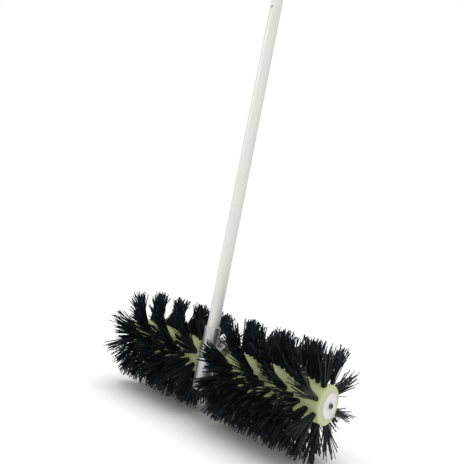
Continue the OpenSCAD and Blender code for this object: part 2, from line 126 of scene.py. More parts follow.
class Bench:
    """Small modelling habits that every sub-assembly shares."""

    @staticmethod
    def clear() -> None:
        """Leaves edit mode and deselects everything."""
        if bpy.context.mode != "OBJECT":
            bpy.ops.object.mode_set(mode="OBJECT")
        bpy.ops.object.select_all(action="DESELECT")

    @staticmethod
    def pick(pieces: Iterable[Piece]) -> Piece:
        """Selects some objects and nothing else.

        Args:
            pieces: The objects to select; the first becomes the active one.

        Returns:
            The active object.
        """
        Bench.clear()
        chosen = list(pieces)
        for piece in chosen:
            piece.select_set(True)
        bpy.context.view_layer.objects.active = chosen[0]
        return chosen[0]

    @staticmethod
    def settle(piece: Piece) -> Piece:
        """Puts an object's place into its mesh and leaves the object at the origin.

        Args:
            piece: The object, wherever it stands.

        Returns:
            The same object.
        """
        bpy.context.view_layer.update()
        piece.data.transform(piece.matrix_world)
        piece.matrix_world = Matrix.Identity(4)
        return piece

    @staticmethod
    def open(piece: Piece, kind: str, action: str = "DESELECT") -> bmesh.types.BMesh:
        """Opens a piece in edit mode, with nothing selected or all of it.

        Args:
            piece: The object to edit.
            kind: FACE or EDGE, whichever is to be chosen among.
            action: DESELECT to start from nothing, or SELECT to start from everything.

        Returns:
            The piece's mesh, as edit mode holds it.
        """
        Bench.pick([piece])
        bpy.ops.object.mode_set(mode="EDIT")
        bpy.ops.mesh.select_mode(type=kind)
        bpy.ops.mesh.select_all(action=action)
        return bmesh.from_edit_mesh(piece.data)

    @staticmethod
    def select_faces(piece: Piece, test: FaceTest) -> None:
        """Opens a piece in edit mode with only the faces that pass a test selected.

        Args:
            piece: The object to edit.
            test: Says of a face whether it is wanted.
        """
        for face in Bench.open(piece, "FACE").faces:
            face.select_set(test(face))
        bmesh.update_edit_mesh(piece.data)

    @staticmethod
    def select_edges(piece: Piece, test: EdgeTest) -> None:
        """Opens a piece in edit mode with only the edges that pass a test selected.

        Args:
            piece: The object to edit.
            test: Says of an edge's two ends whether it is wanted.
        """
        for edge in Bench.open(piece, "EDGE").edges:
            if test(edge.verts[0].co, edge.verts[1].co):
                edge.select_set(True)
        bmesh.update_edit_mesh(piece.data)

    @staticmethod
    def bevel_edges(piece: Piece, test: EdgeTest, width: float, segments: int) -> None:
        """Rounds the edges that pass a test.

        Args:
            piece: The object to edit.
            test: Says of an edge's two ends whether it is wanted.
            width: How far the rounding reaches from the edge.
            segments: How many faces make the rounding.
        """
        Bench.select_edges(piece, test)
        bpy.ops.mesh.bevel(offset=width, segments=segments, profile=0.5, affect="EDGES")
        bpy.ops.object.mode_set(mode="OBJECT")

    @staticmethod
    def inset_faces(piece: Piece, test: FaceTest, thickness: float, depth: float = 0.0) -> None:
        """Insets the faces that pass a test, and sinks or raises what is inside.

        Args:
            piece: The object to edit.
            test: Says of a face whether it is wanted.
            thickness: Width of the border that the inset leaves.
            depth: How far the inner face then moves out along its normal.
        """
        Bench.select_faces(piece, test)
        bpy.ops.mesh.inset(thickness=thickness, depth=0.0)
        if depth:
            bpy.ops.mesh.inset(thickness=SEAM, depth=depth)
        bpy.ops.object.mode_set(mode="OBJECT")

    @staticmethod
    def mend_normals(piece: Piece) -> None:
        """Merges doubled points and turns every face outwards.

        Args:
            piece: The object to mend.
        """
        Bench.open(piece, "FACE", "SELECT")
        bpy.ops.mesh.remove_doubles(threshold=NEAR / 2)
        bpy.ops.mesh.normals_make_consistent(inside=False)
        bpy.ops.object.mode_set(mode="OBJECT")

    @staticmethod
    def bore(piece: Piece, along: Vector, centre: Vector, outside: float, radius: float) -> None:
        """Opens a round piece from end to end.

        Args:
            piece: The piece, with one flat face at each end.
            along: The direction of its axis.
            centre: A point on its axis.
            outside: The piece's own radius.
            radius: The bore's radius.
        """

        def end(face: Face) -> bool:
            """Says whether a face looks along the axis."""
            return abs(face.normal.dot(along)) > FACING

        def inner_cap(face: Face) -> bool:
            """Says whether a face is what the inset left inside an end."""
            offsets = [corner.co - centre for corner in face.verts]
            return end(face) and all(
                (offset - along * offset.dot(along)).length < (radius + outside) / 2
                for offset in offsets
            )

        Bench.inset_faces(piece, end, outside - radius)
        Bench.select_faces(piece, inner_cap)
        bpy.ops.mesh.bridge_edge_loops()
        bpy.ops.object.mode_set(mode="OBJECT")
        Bench.mend_normals(piece)

    @staticmethod
    def score(piece: Piece, at: Vector, normal: Vector, trim: bool = False) -> None:
        """Cuts a piece along a plane, and can take off what lies beyond it.

        Args:
            piece: The object to edit.
            at: A point on the plane.
            normal: The plane's normal.
            trim: Whether the side that the normal points to is removed and the cut closed.
        """
        Bench.open(piece, "FACE", "SELECT")
        bpy.ops.mesh.bisect(plane_co=at, plane_no=normal, use_fill=trim, clear_outer=trim)
        bpy.ops.object.mode_set(mode="OBJECT")

    @staticmethod
    def rod(radius: float, start: Vector, end: Vector, sides: int = 64, edge: float = 0.0) -> Piece:
        """Adds a straight round bar between two points.

        Args:
            radius: The bar's radius.
            start: The centre of one end.
            end: The centre of the other end.
            sides: How many faces run round it.
            edge: How far its two rims are rounded.

        Returns:
            The bar, with its place in its mesh.
        """
        axis = end - start
        Bench.clear()
        bpy.ops.mesh.primitive_cylinder_add(
            vertices=sides,
            radius=radius,
            depth=axis.length,
            location=(start + end) / 2,
            rotation=axis.to_track_quat("Z", "Y").to_euler(),
        )
        piece = Bench.settle(bpy.context.active_object)
        if edge:
            along = axis.normalized()
            square = 1.0 - FACING
            Bench.bevel_edges(
                piece, lambda a, b: abs((b - a).normalized().dot(along)) < square, edge, 2
            )
        return piece

    @staticmethod
    def block(low: Vector, high: Vector, edge: float = 0.0) -> Piece:
        """Adds a block between two corners.

        Args:
            low: The lowest corner.
            high: The highest corner.
            edge: How far every edge is rounded.

        Returns:
            The block, with its place in its mesh.
        """
        Bench.clear()
        bpy.ops.mesh.primitive_cube_add(size=1.0, location=(low + high) / 2, scale=high - low)
        piece = Bench.settle(bpy.context.active_object)
        if edge:
            Bench.bevel_edges(piece, lambda a, b: True, edge, 2)
        return piece

    @staticmethod
    def cast(name: str, lumps: list[Piece], grain: float, rounds: int) -> Piece:
        """Melts overlapping solids into one casting with soft fillets.

        Args:
            name: What the casting is called.
            lumps: The solids.
            grain: Size of the faces that the casting is made of.
            rounds: How often its surface is smoothed.

        Returns:
            The casting.
        """
        piece = Bench.join(name, lumps)
        for kind, settings in (
            ("REMESH", {"mode": "VOXEL", "voxel_size": grain}),
            ("SMOOTH", {"factor": 0.5, "iterations": rounds}),
        ):
            modifier = piece.modifiers.new(kind.lower(), kind)
            for title, value in settings.items():
                setattr(modifier, title, value)
            bpy.ops.object.modifier_apply(modifier=modifier.name)
        return piece

    @staticmethod
    def cut(piece: Piece, cutter: Piece) -> None:
        """Takes one solid out of another and removes the cutter.

        Args:
            piece: The solid to cut.
            cutter: The solid that is taken away.
        """
        Bench.pick([piece])
        modifier = piece.modifiers.new("cut", "BOOLEAN")
        modifier.operation = "DIFFERENCE"
        modifier.solver = "EXACT"
        modifier.object = cutter
        bpy.ops.object.modifier_apply(modifier=modifier.name)
        bpy.data.objects.remove(cutter)

    @staticmethod
    def join(name: str, pieces: list[Piece]) -> Piece:
        """Joins several objects into one.

        Args:
            name: What the joined object is called.
            pieces: The objects, each with its own mesh.

        Returns:
            The joined object.
        """
        whole = Bench.pick(pieces)
        if len(pieces) > 1:
            bpy.ops.object.join()
        whole.name = name
        whole.data.name = name
        return whole

    @staticmethod
    def copy(piece: Piece, place: Matrix) -> Piece:
        """Copies an object with a mesh of its own.

        Args:
            piece: The object to copy.
            place: Where the copy's mesh goes.

        Returns:
            The copy, linked into the scene.
        """
        twin = piece.copy()
        twin.data = piece.data.copy()
        twin.data.transform(place)
        bpy.context.scene.collection.objects.link(twin)
        return twin

    @staticmethod
    def smooth(piece: Piece, angle: float = 32.0) -> None:
        """Shades a piece smooth across every edge flatter than an angle in degrees."""
        Bench.pick([piece])
        bpy.ops.object.shade_smooth_by_angle(angle=math.radians(angle))


# ---- finishes ---------------------------------------------------------------------------------


class ShaderKit:
    """Node groups for the effects that several finishes share, each built once."""

    def __init__(self) -> None:
        """Builds every group."""
        self.mottle = self._mottle()
        self.grain = self._grain()
        self.wear_and_highlight = self._wear_and_highlight()
        self.dust = self._dust()

    @staticmethod
    def _start(
        name: str, inputs: dict[str, tuple[str, float]], outputs: dict[str, str]
    ) -> tuple[Tree, Node, Node]:
        """Makes an empty group with its sockets.

        Args:
            name: The group's name.
            inputs: Each input's kind and default value.
            outputs: Each output's kind.

        Returns:
            The tree, its input node and its output node.
        """
        tree = bpy.data.node_groups.new(name, "ShaderNodeTree")
        for title, (kind, value) in inputs.items():
            socket = tree.interface.new_socket(name=title, in_out="INPUT", socket_type=kind)
            if kind == "NodeSocketFloat":
                socket.default_value = value
        for title, kind in outputs.items():
            tree.interface.new_socket(name=title, in_out="OUTPUT", socket_type=kind)
        return tree, tree.nodes.new("NodeGroupInput"), tree.nodes.new("NodeGroupOutput")

    @staticmethod
    def _noise(tree: Tree, scale: Socket, detail: float, distortion: float = 0.0) -> Socket:
        """Adds a noise texture on Object coordinates.

        Args:
            tree: The tree to add it to.
            scale: The socket that gives its scale.
            detail: Octaves of detail.
            distortion: How far the pattern is warped.

        Returns:
            The socket that carries the noise.
        """
        place = tree.nodes.new("ShaderNodeTexCoord")
        noise = tree.nodes.new("ShaderNodeTexNoise")
        noise.inputs["Detail"].default_value = detail
        noise.inputs["Distortion"].default_value = distortion
        tree.links.new(place.outputs["Object"], noise.inputs["Vector"])
        tree.links.new(scale, noise.inputs["Scale"])
        return noise.outputs["Fac"]

    @staticmethod
    def span(
        tree: Tree, value: Socket, low: float, high: float, to: tuple[float, float] = (0.0, 1.0)
    ) -> Socket:
        """Adds a clamped Map Range.

        Args:
            tree: The tree to add it to.
            value: The socket to map.
            low: The value that maps to the first end.
            high: The value that maps to the second end.
            to: The two ends of the result.

        Returns:
            The socket that carries the result.
        """
        node = tree.nodes.new("ShaderNodeMapRange")
        node.inputs["From Min"].default_value = low
        node.inputs["From Max"].default_value = high
        node.inputs["To Min"].default_value, node.inputs["To Max"].default_value = to
        tree.links.new(value, node.inputs["Value"])
        return node.outputs[0]

    @staticmethod
    def _math(tree: Tree, operation: str, first: Socket, second: Socket | float) -> Socket:
        """Adds a Math node on a socket and a second socket or number.

        Args:
            tree: The tree to add it to.
            operation: What it works out.
            first: The first socket.
            second: The second socket, or a plain number.

        Returns:
            The socket that carries the result.
        """
        node = tree.nodes.new("ShaderNodeMath")
        node.operation = operation
        tree.links.new(first, node.inputs[0])
        if isinstance(second, Socket):
            tree.links.new(second, node.inputs[1])
        else:
            node.inputs[1].default_value = second
        return node.outputs[0]

    @staticmethod
    def lay(tree: Tree, mask: Socket, under: Socket, over: Socket | Colour) -> Socket:
        """Lays one colour over another where a mask says.

        Args:
            tree: The tree to add it to.
            mask: The socket that says how much of the upper colour shows.
            under: The lower colour.
            over: The upper colour, from a socket or plain.

        Returns:
            The socket that carries the mixed colour.
        """
        mix = tree.nodes.new("ShaderNodeMix")
        mix.data_type = "RGBA"
        lower, upper = (socket for socket in mix.inputs if socket.type == "RGBA")
        tree.links.new(mask, mix.inputs["Factor"])
        tree.links.new(under, lower)
        if isinstance(over, Socket):
            tree.links.new(over, upper)
        else:
            upper.default_value = (*over, 1.0)
        return next(socket for socket in mix.outputs if socket.type == "RGBA")

    def _mottle(self) -> Tree:
        """Cloudy change between two colours, with a fine fleck over it."""
        tree, given, made = self._start(
            "mottle",
            {
                "Colour": ("NodeSocketColor", 0.0),
                "Shade": ("NodeSocketColor", 0.0),
                "Scale": ("NodeSocketFloat", 20.0),
                "Amount": ("NodeSocketFloat", 0.5),
            },
            {"Colour": "NodeSocketColor"},
        )
        cloud = self._noise(tree, given.outputs["Scale"], 4.0, 0.4)
        spread = self.span(tree, cloud, 0.32, 0.68)
        fine_scale = self._math(tree, "MULTIPLY", given.outputs["Scale"], 22.0)
        fleck = self.span(tree, self._noise(tree, fine_scale, 2.0), 0.3, 0.7, (0.65, 1.0))
        both = self._math(tree, "MULTIPLY", spread, fleck)
        share = self._math(tree, "MULTIPLY", both, given.outputs["Amount"])
        mixed = self.lay(tree, share, given.outputs["Colour"], given.outputs["Shade"])
        tree.links.new(mixed, made.inputs["Colour"])
        return tree

    def _grain(self) -> Tree:
        """Fine surface grain: a roughness that varies and a height for a Bump node."""
        tree, given, made = self._start(
            "grain",
            {
                "Scale": ("NodeSocketFloat", 800.0),
                "Smoothest": ("NodeSocketFloat", 0.3),
                "Roughest": ("NodeSocketFloat", 0.5),
            },
            {"Roughness": "NodeSocketFloat", "Height": "NodeSocketFloat"},
        )
        fine = self._noise(tree, given.outputs["Scale"], 3.0)
        broad_scale = self._math(tree, "MULTIPLY", given.outputs["Scale"], 0.06)
        broad = self._noise(tree, broad_scale, 3.0, 0.5)
        mean = self._math(tree, "ADD", fine, broad)
        rough = tree.nodes.new("ShaderNodeMapRange")
        tree.links.new(self.span(tree, mean, 0.75, 1.25), rough.inputs["Value"])
        tree.links.new(given.outputs["Smoothest"], rough.inputs["To Min"])
        tree.links.new(given.outputs["Roughest"], rough.inputs["To Max"])
        tree.links.new(rough.outputs[0], made.inputs["Roughness"])
        tree.links.new(mean, made.inputs["Height"])
        return tree

    def _wear_and_highlight(self) -> Tree:
        """Mask of convex edges broken up by noise: rubbed edges, and on the core's rims partly a
        painted highlight.
        """
        tree, given, made = self._start(
            "edge_wear_and_highlight",
            {"Scale": ("NodeSocketFloat", 120.0), "Amount": ("NodeSocketFloat", 0.5)},
            {"Mask": "NodeSocketFloat"},
        )
        shape = tree.nodes.new("ShaderNodeNewGeometry")
        edge = self.span(tree, shape.outputs["Pointiness"], 0.525, 0.58)
        noise = self._noise(tree, given.outputs["Scale"], 5.0)
        broken = self._math(tree, "MULTIPLY", edge, self.span(tree, noise, 0.42, 0.6))
        share = self._math(tree, "MULTIPLY", broken, given.outputs["Amount"])
        tree.links.new(share, made.inputs["Mask"])
        return tree

    def _dust(self) -> Tree:
        """Mask of thin dust in drifts."""
        tree, given, made = self._start(
            "dust",
            {"Scale": ("NodeSocketFloat", 60.0), "Amount": ("NodeSocketFloat", 0.2)},
            {"Mask": "NodeSocketFloat"},
        )
        noise = self._noise(tree, given.outputs["Scale"], 8.0, 1.2)
        drift = self.span(tree, noise, 0.45, 0.75)
        share = self._math(tree, "MULTIPLY", drift, given.outputs["Amount"])
        tree.links.new(share, made.inputs["Mask"])
        return tree


@dataclass(frozen=True)
class Finish:
    """One surface finish, with its variation, grain, worn edges that are partly a painted highlight
    on the core, and dust.
    """

    slot: Slot
    colour: Colour
    shade: Colour
    smoothest: float
    roughest: float
    metallic: float = 0.0
    mottle_scale: float = 18.0
    mottle_amount: float = 0.7
    grain_scale: float = 900.0
    bump: float = 0.15
    bump_height: float = 0.0004
    wear_and_highlight_colour: Colour = (0.8, 0.8, 0.8)
    wear_and_highlight_amount: float = 0.0
    wear_and_highlight_scale: float = 160.0
    dust_colour: Colour = (0.42, 0.40, 0.36)
    dust_amount: float = 0.0
    dust_scale: float = 70.0
    coat: float = 0.0
    specular: float = 0.5

    def build(self, kit: ShaderKit) -> bpy.types.Material:
        """Makes the finish's material.

        Args:
            kit: The shared node groups.

        Returns:
            The material, named after its slot.
        """
        material = bpy.data.materials.new(self.slot.value)
        material.use_nodes = True
        tree = material.node_tree
        surface = tree.nodes["Principled BSDF"]
        surface.inputs["Metallic"].default_value = self.metallic
        surface.inputs["Coat Weight"].default_value = self.coat
        surface.inputs["Specular IOR Level"].default_value = self.specular
        colour = self._coloured(tree, kit)
        for group, over, amount, scale in (
            (kit.wear_and_highlight, self.wear_and_highlight_colour, self.wear_and_highlight_amount, self.wear_and_highlight_scale),
            (kit.dust, self.dust_colour, self.dust_amount, self.dust_scale),
        ):
            if amount:
                mask = self._group(tree, group, {"Scale": scale, "Amount": amount})
                colour = kit.lay(tree, mask.outputs["Mask"], colour, over)
        tree.links.new(colour, surface.inputs["Base Color"])
        values = {
            "Scale": self.grain_scale,
            "Smoothest": self.smoothest,
            "Roughest": self.roughest,
        }
        grain = self._group(tree, kit.grain, values)
        tree.links.new(grain.outputs["Roughness"], surface.inputs["Roughness"])
        bump = tree.nodes.new("ShaderNodeBump")
        bump.inputs["Strength"].default_value = self.bump
        bump.inputs["Distance"].default_value = self.bump_height
        tree.links.new(grain.outputs["Height"], bump.inputs["Height"])
        tree.links.new(bump.outputs["Normal"], surface.inputs["Normal"])
        return material

    @staticmethod
    def _group(tree: Tree, group: Tree, values: dict[str, float | tuple[float, ...]]) -> Node:
        """Places a shared node group in a material.

        Args:
            tree: The material's nodes.
            group: The group to place.
            values: What each of its inputs is set to.

        Returns:
            The group's node.
        """
        node = tree.nodes.new("ShaderNodeGroup")
        node.node_tree = group
        for title, value in values.items():
            node.inputs[title].default_value = value
        return node

    def _coloured(self, tree: Tree, kit: ShaderKit) -> Socket:
        """Adds the finish's own colour and its cloudy variation.

        Args:
            tree: The material's nodes.
            kit: The shared node groups.

        Returns:
            The socket that carries the colour.
        """
        values = {
            "Colour": (*self.colour, 1.0),
            "Shade": (*self.shade, 1.0),
            "Scale": self.mottle_scale,
            "Amount": self.mottle_amount,
        }
        return self._group(tree, kit.mottle, values).outputs["Colour"]


@dataclass(frozen=True)
class BristleFinish(Finish):
    """Black filament whose strands each have a tone of their own."""

    lightest: Colour = (0.015, 0.027, 0.034)

    def _coloured(self, tree: Tree, kit: ShaderKit) -> Socket:
        """Adds each strand's own tone over the cloudy variation.

        Args:
            tree: The material's nodes.
            kit: The shared node groups.

        Returns:
            The socket that carries the colour.
        """
        under = super()._coloured(tree, kit)
        tone = tree.nodes.new("ShaderNodeAttribute")
        tone.attribute_name = STRAND_TONE
        return kit.lay(tree, tone.outputs["Fac"], under, self.lightest)


@dataclass(frozen=True)
class PaintedLightFinish(Finish):
    """A finish with painted light: past a distance from a point, along chosen axes, its colour
    changes to one that stands for how light falls there (paler on the core's ends, darker on the
    hub's flange).
    """

    painted_light_colour: Colour = (0.5, 0.5, 0.5)
    zone_centre: Triple = (0.0, 0.0, 0.0)
    zone_axes: Triple = (1.0, 1.0, 1.0)
    zone_from: float = 0.0
    zone_full: float = 1.0
    painted_light_amount: float = 0.8

    def _coloured(self, tree: Tree, kit: ShaderKit) -> Socket:
        """Adds the painted light's colour over the cloudy variation.

        Args:
            tree: The material's nodes.
            kit: The shared node groups.

        Returns:
            The socket that carries the colour.
        """
        under = super()._coloured(tree, kit)
        value = tree.nodes.new("ShaderNodeTexCoord").outputs["Object"]
        for operation, other in (("SUBTRACT", self.zone_centre), ("MULTIPLY", self.zone_axes)):
            node = tree.nodes.new("ShaderNodeVectorMath")
            node.operation = operation
            node.inputs[1].default_value = other
            tree.links.new(value, node.inputs[0])
            value = node.outputs["Vector"]
        distance = tree.nodes.new("ShaderNodeVectorMath")
        distance.operation = "LENGTH"
        tree.links.new(value, distance.inputs[0])
        away, reach = distance.outputs["Value"], (0.0, self.painted_light_amount)
        painted_light_share = kit.span(tree, away, self.zone_from, self.zone_full, reach)
        return kit.lay(tree, painted_light_share, under, self.painted_light_colour)


FINISHES: tuple[Finish, ...] = (
    Finish(
        Slot.BOOM, (0.74, 0.735, 0.705), (0.69, 0.685, 0.655), 0.28, 0.38, coat=0.2,
        mottle_scale=7.0, mottle_amount=0.3, grain_scale=420.0, bump=0.03,
        wear_and_highlight_colour=(0.50, 0.51, 0.52), wear_and_highlight_amount=0.5, dust_amount=0.05,
    ),
    Finish(
        Slot.CASE, (0.62, 0.625, 0.63), (0.42, 0.43, 0.44), 0.30, 0.52, metallic=0.85,
        mottle_scale=34.0, grain_scale=1300.0, bump=0.4, bump_height=0.0006,
        wear_and_highlight_colour=(0.80, 0.81, 0.82), wear_and_highlight_amount=0.6, dust_amount=0.12,
    ),
    # Painted light: the core's outer end faces, past 0.264 m along X, are painted paler, standing
    # for the brighter light that they catch.
    PaintedLightFinish(
        Slot.CORE, (0.50, 0.57, 0.245), (0.42, 0.485, 0.20), 0.42, 0.62, mottle_scale=26.0,
        # Lighter green on the core's convex edges: partly rubbed plastic, partly a painted
        # highlight along the rims of the end faces.
        bump=0.2, wear_and_highlight_colour=(0.58, 0.62, 0.38), wear_and_highlight_amount=0.8, dust_amount=0.22,
        dust_colour=(0.52, 0.54, 0.38), painted_light_colour=(0.49, 0.53, 0.30),
        zone_axes=(1.0, 0.0, 0.0), zone_from=0.2640, zone_full=0.2646,
    ),
    # Painted shade: the hub's sloping flange ring, past 0.0218 m from the axle, is painted darker
    # beige, standing for the shade on it.
    PaintedLightFinish(
        Slot.HUB, (0.79, 0.78, 0.76), (0.71, 0.70, 0.67), 0.32, 0.5, mottle_scale=40.0,
        bump=0.12, wear_and_highlight_colour=(0.62, 0.61, 0.57), wear_and_highlight_amount=0.4, dust_amount=0.18,
        painted_light_colour=(0.48, 0.465, 0.37), zone_centre=(0.0, AXLE.y, AXLE.z),
        zone_axes=(0.0, 1.0, 1.0), zone_from=0.0218, zone_full=0.0226,
    ),
    BristleFinish(
        Slot.BRISTLE, (0.0018, 0.0040, 0.0050), (0.0008, 0.0016, 0.0022), 0.34, 0.55,
        mottle_scale=60.0, grain_scale=2200.0, bump=0.25, bump_height=0.0003, specular=0.24,
        dust_colour=(0.07, 0.075, 0.075), dust_amount=0.03,
    ),
    Finish(
        Slot.ZINC, (0.66, 0.67, 0.69), (0.52, 0.53, 0.55), 0.22, 0.42, metallic=1.0,
        mottle_scale=90.0, wear_and_highlight_amount=0.5, dust_amount=0.1,
    ),
    Finish(
        Slot.DARK, (0.045, 0.045, 0.048), (0.02, 0.02, 0.022), 0.3, 0.5, metallic=0.9,
        mottle_scale=90.0, wear_and_highlight_colour=(0.35, 0.35, 0.36), wear_and_highlight_amount=0.7, dust_amount=0.1,
    ),
    Finish(
        Slot.MACHINED, (0.56, 0.57, 0.58), (0.42, 0.42, 0.43), 0.2, 0.38, metallic=1.0,
        mottle_scale=70.0, grain_scale=1600.0, wear_and_highlight_amount=0.3, dust_amount=0.08,
    ),
    Finish(
        Slot.BEARING, (0.68, 0.69, 0.71), (0.55, 0.56, 0.58), 0.08, 0.2, metallic=1.0,
        mottle_scale=120.0, bump=0.05,
    ),
    Finish(
        Slot.BRONZE, (0.62, 0.40, 0.17), (0.44, 0.26, 0.10), 0.26, 0.48, metallic=1.0,
        mottle_scale=80.0, wear_and_highlight_colour=(0.80, 0.58, 0.30), wear_and_highlight_amount=0.6,
    ),
    Finish(
        Slot.RUBBER, (0.022, 0.022, 0.022), (0.012, 0.012, 0.012), 0.55, 0.78,
        mottle_scale=70.0, bump=0.3, dust_amount=0.15,
    ),
    Finish(
        Slot.GASKET, (0.22, 0.16, 0.10), (0.14, 0.10, 0.06), 0.7, 0.9, mottle_scale=150.0,
        bump=0.5,
    ),
)


@dataclass
class FinishShop:
    """Every finish's material, ready to be put on a piece."""

    kit: ShaderKit
    materials: dict[Slot, bpy.types.Material] = field(default_factory=dict)

    def stock(self) -> None:
        """Builds one material for each finish."""
        for finish in FINISHES:
            self.materials[finish.slot] = finish.build(self.kit)
            LOG.info("finish %s", finish.slot.value)

    def dress(self, piece: Piece, slot: Slot) -> None:
        """Puts a slot's material on a piece, and nothing else.

        Args:
            piece: The piece to dress.
            slot: The record's slot whose finish it takes.
        """
        piece.data.materials.clear()
        piece.data.materials.append(self.materials[slot])

    def fit(self, piece: Piece, slot: Slot, body: Body, node: str) -> None:
        """Dresses a new piece and puts it on its body, in place of a CAD node.

        Args:
            piece: The finished piece.
            slot: The record's slot whose finish it takes.
            body: The body that it moves with.
            node: The CAD node that it stands for.
        """
        self.dress(piece, slot)
        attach(piece, body.value)
        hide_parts(node)
        LOG.info("%s: %d faces", piece.name, len(piece.data.polygons))

    def dress_carried(self) -> None:
        """Gives every CAD node the finish of its slot in the record."""
        slots = {s.value: s for s in Slot}
        for part in frame["record"]["subparts"]:
            self.dress(frame["nodes"][part["node"]], slots[part["material_slot"]])


# ---- brush ------------------------------------------------------------------------------------


@dataclass
class DrumPlan:
    """Where things are on a drum, in metres and degrees."""

    core_radius: float = 0.036
    core_inner: float = 0.033
    core_outer: float = 0.265
    bore_radius: float = 0.0225
    rows: int = 8
    row_tufts: int = 14
    first_tuft: float = 0.044
    tuft_pitch: float = 0.01635
    row_lead: float = 0.558
    row_angle: dict[Side, float] = field(
        default_factory=lambda: {Side.RIGHT: 20.0, Side.LEFT: 52.0}
    )

    def tuft_x(self, side: Side, index: int) -> float:
        """X of a row's tuft, counted from the innermost."""
        return side.value * (self.first_tuft + index * self.tuft_pitch)

    def tuft_angle(self, side: Side, row: int, index: int) -> float:
        """Angle of a tuft about the axle.

        Args:
            side: The drum.
            row: The row, from 1.
            index: The tuft, from 0 at the drum's inner end.

        Returns:
            Degrees up from straight ahead (-Y).
        """
        last = self.tuft_x(Side.RIGHT, self.row_tufts - 1)
        turned = (last - self.tuft_x(side, index)) / self.row_lead * 360.0
        return self.row_angle[side] + (row - 1) * 360.0 / self.rows + turned

    def tuft_place(self, side: Side, row: int, index: int) -> Matrix:
        """The frame of a tuft: its +Z points out of the drum, and its +X along the axle.

        Args:
            side: The drum.
            row: The row, from 1.
            index: The tuft, from 0 at the drum's inner end.

        Returns:
            The frame, with its origin on the axle.
        """
        angle = math.radians(self.tuft_angle(side, row, index))
        out = Vector((0.0, -math.cos(angle), math.sin(angle)))
        turn = Matrix((ALONG, out.cross(ALONG), out)).transposed().to_4x4()
        return Matrix.Translation(on_axle(self.tuft_x(side, index))) @ turn


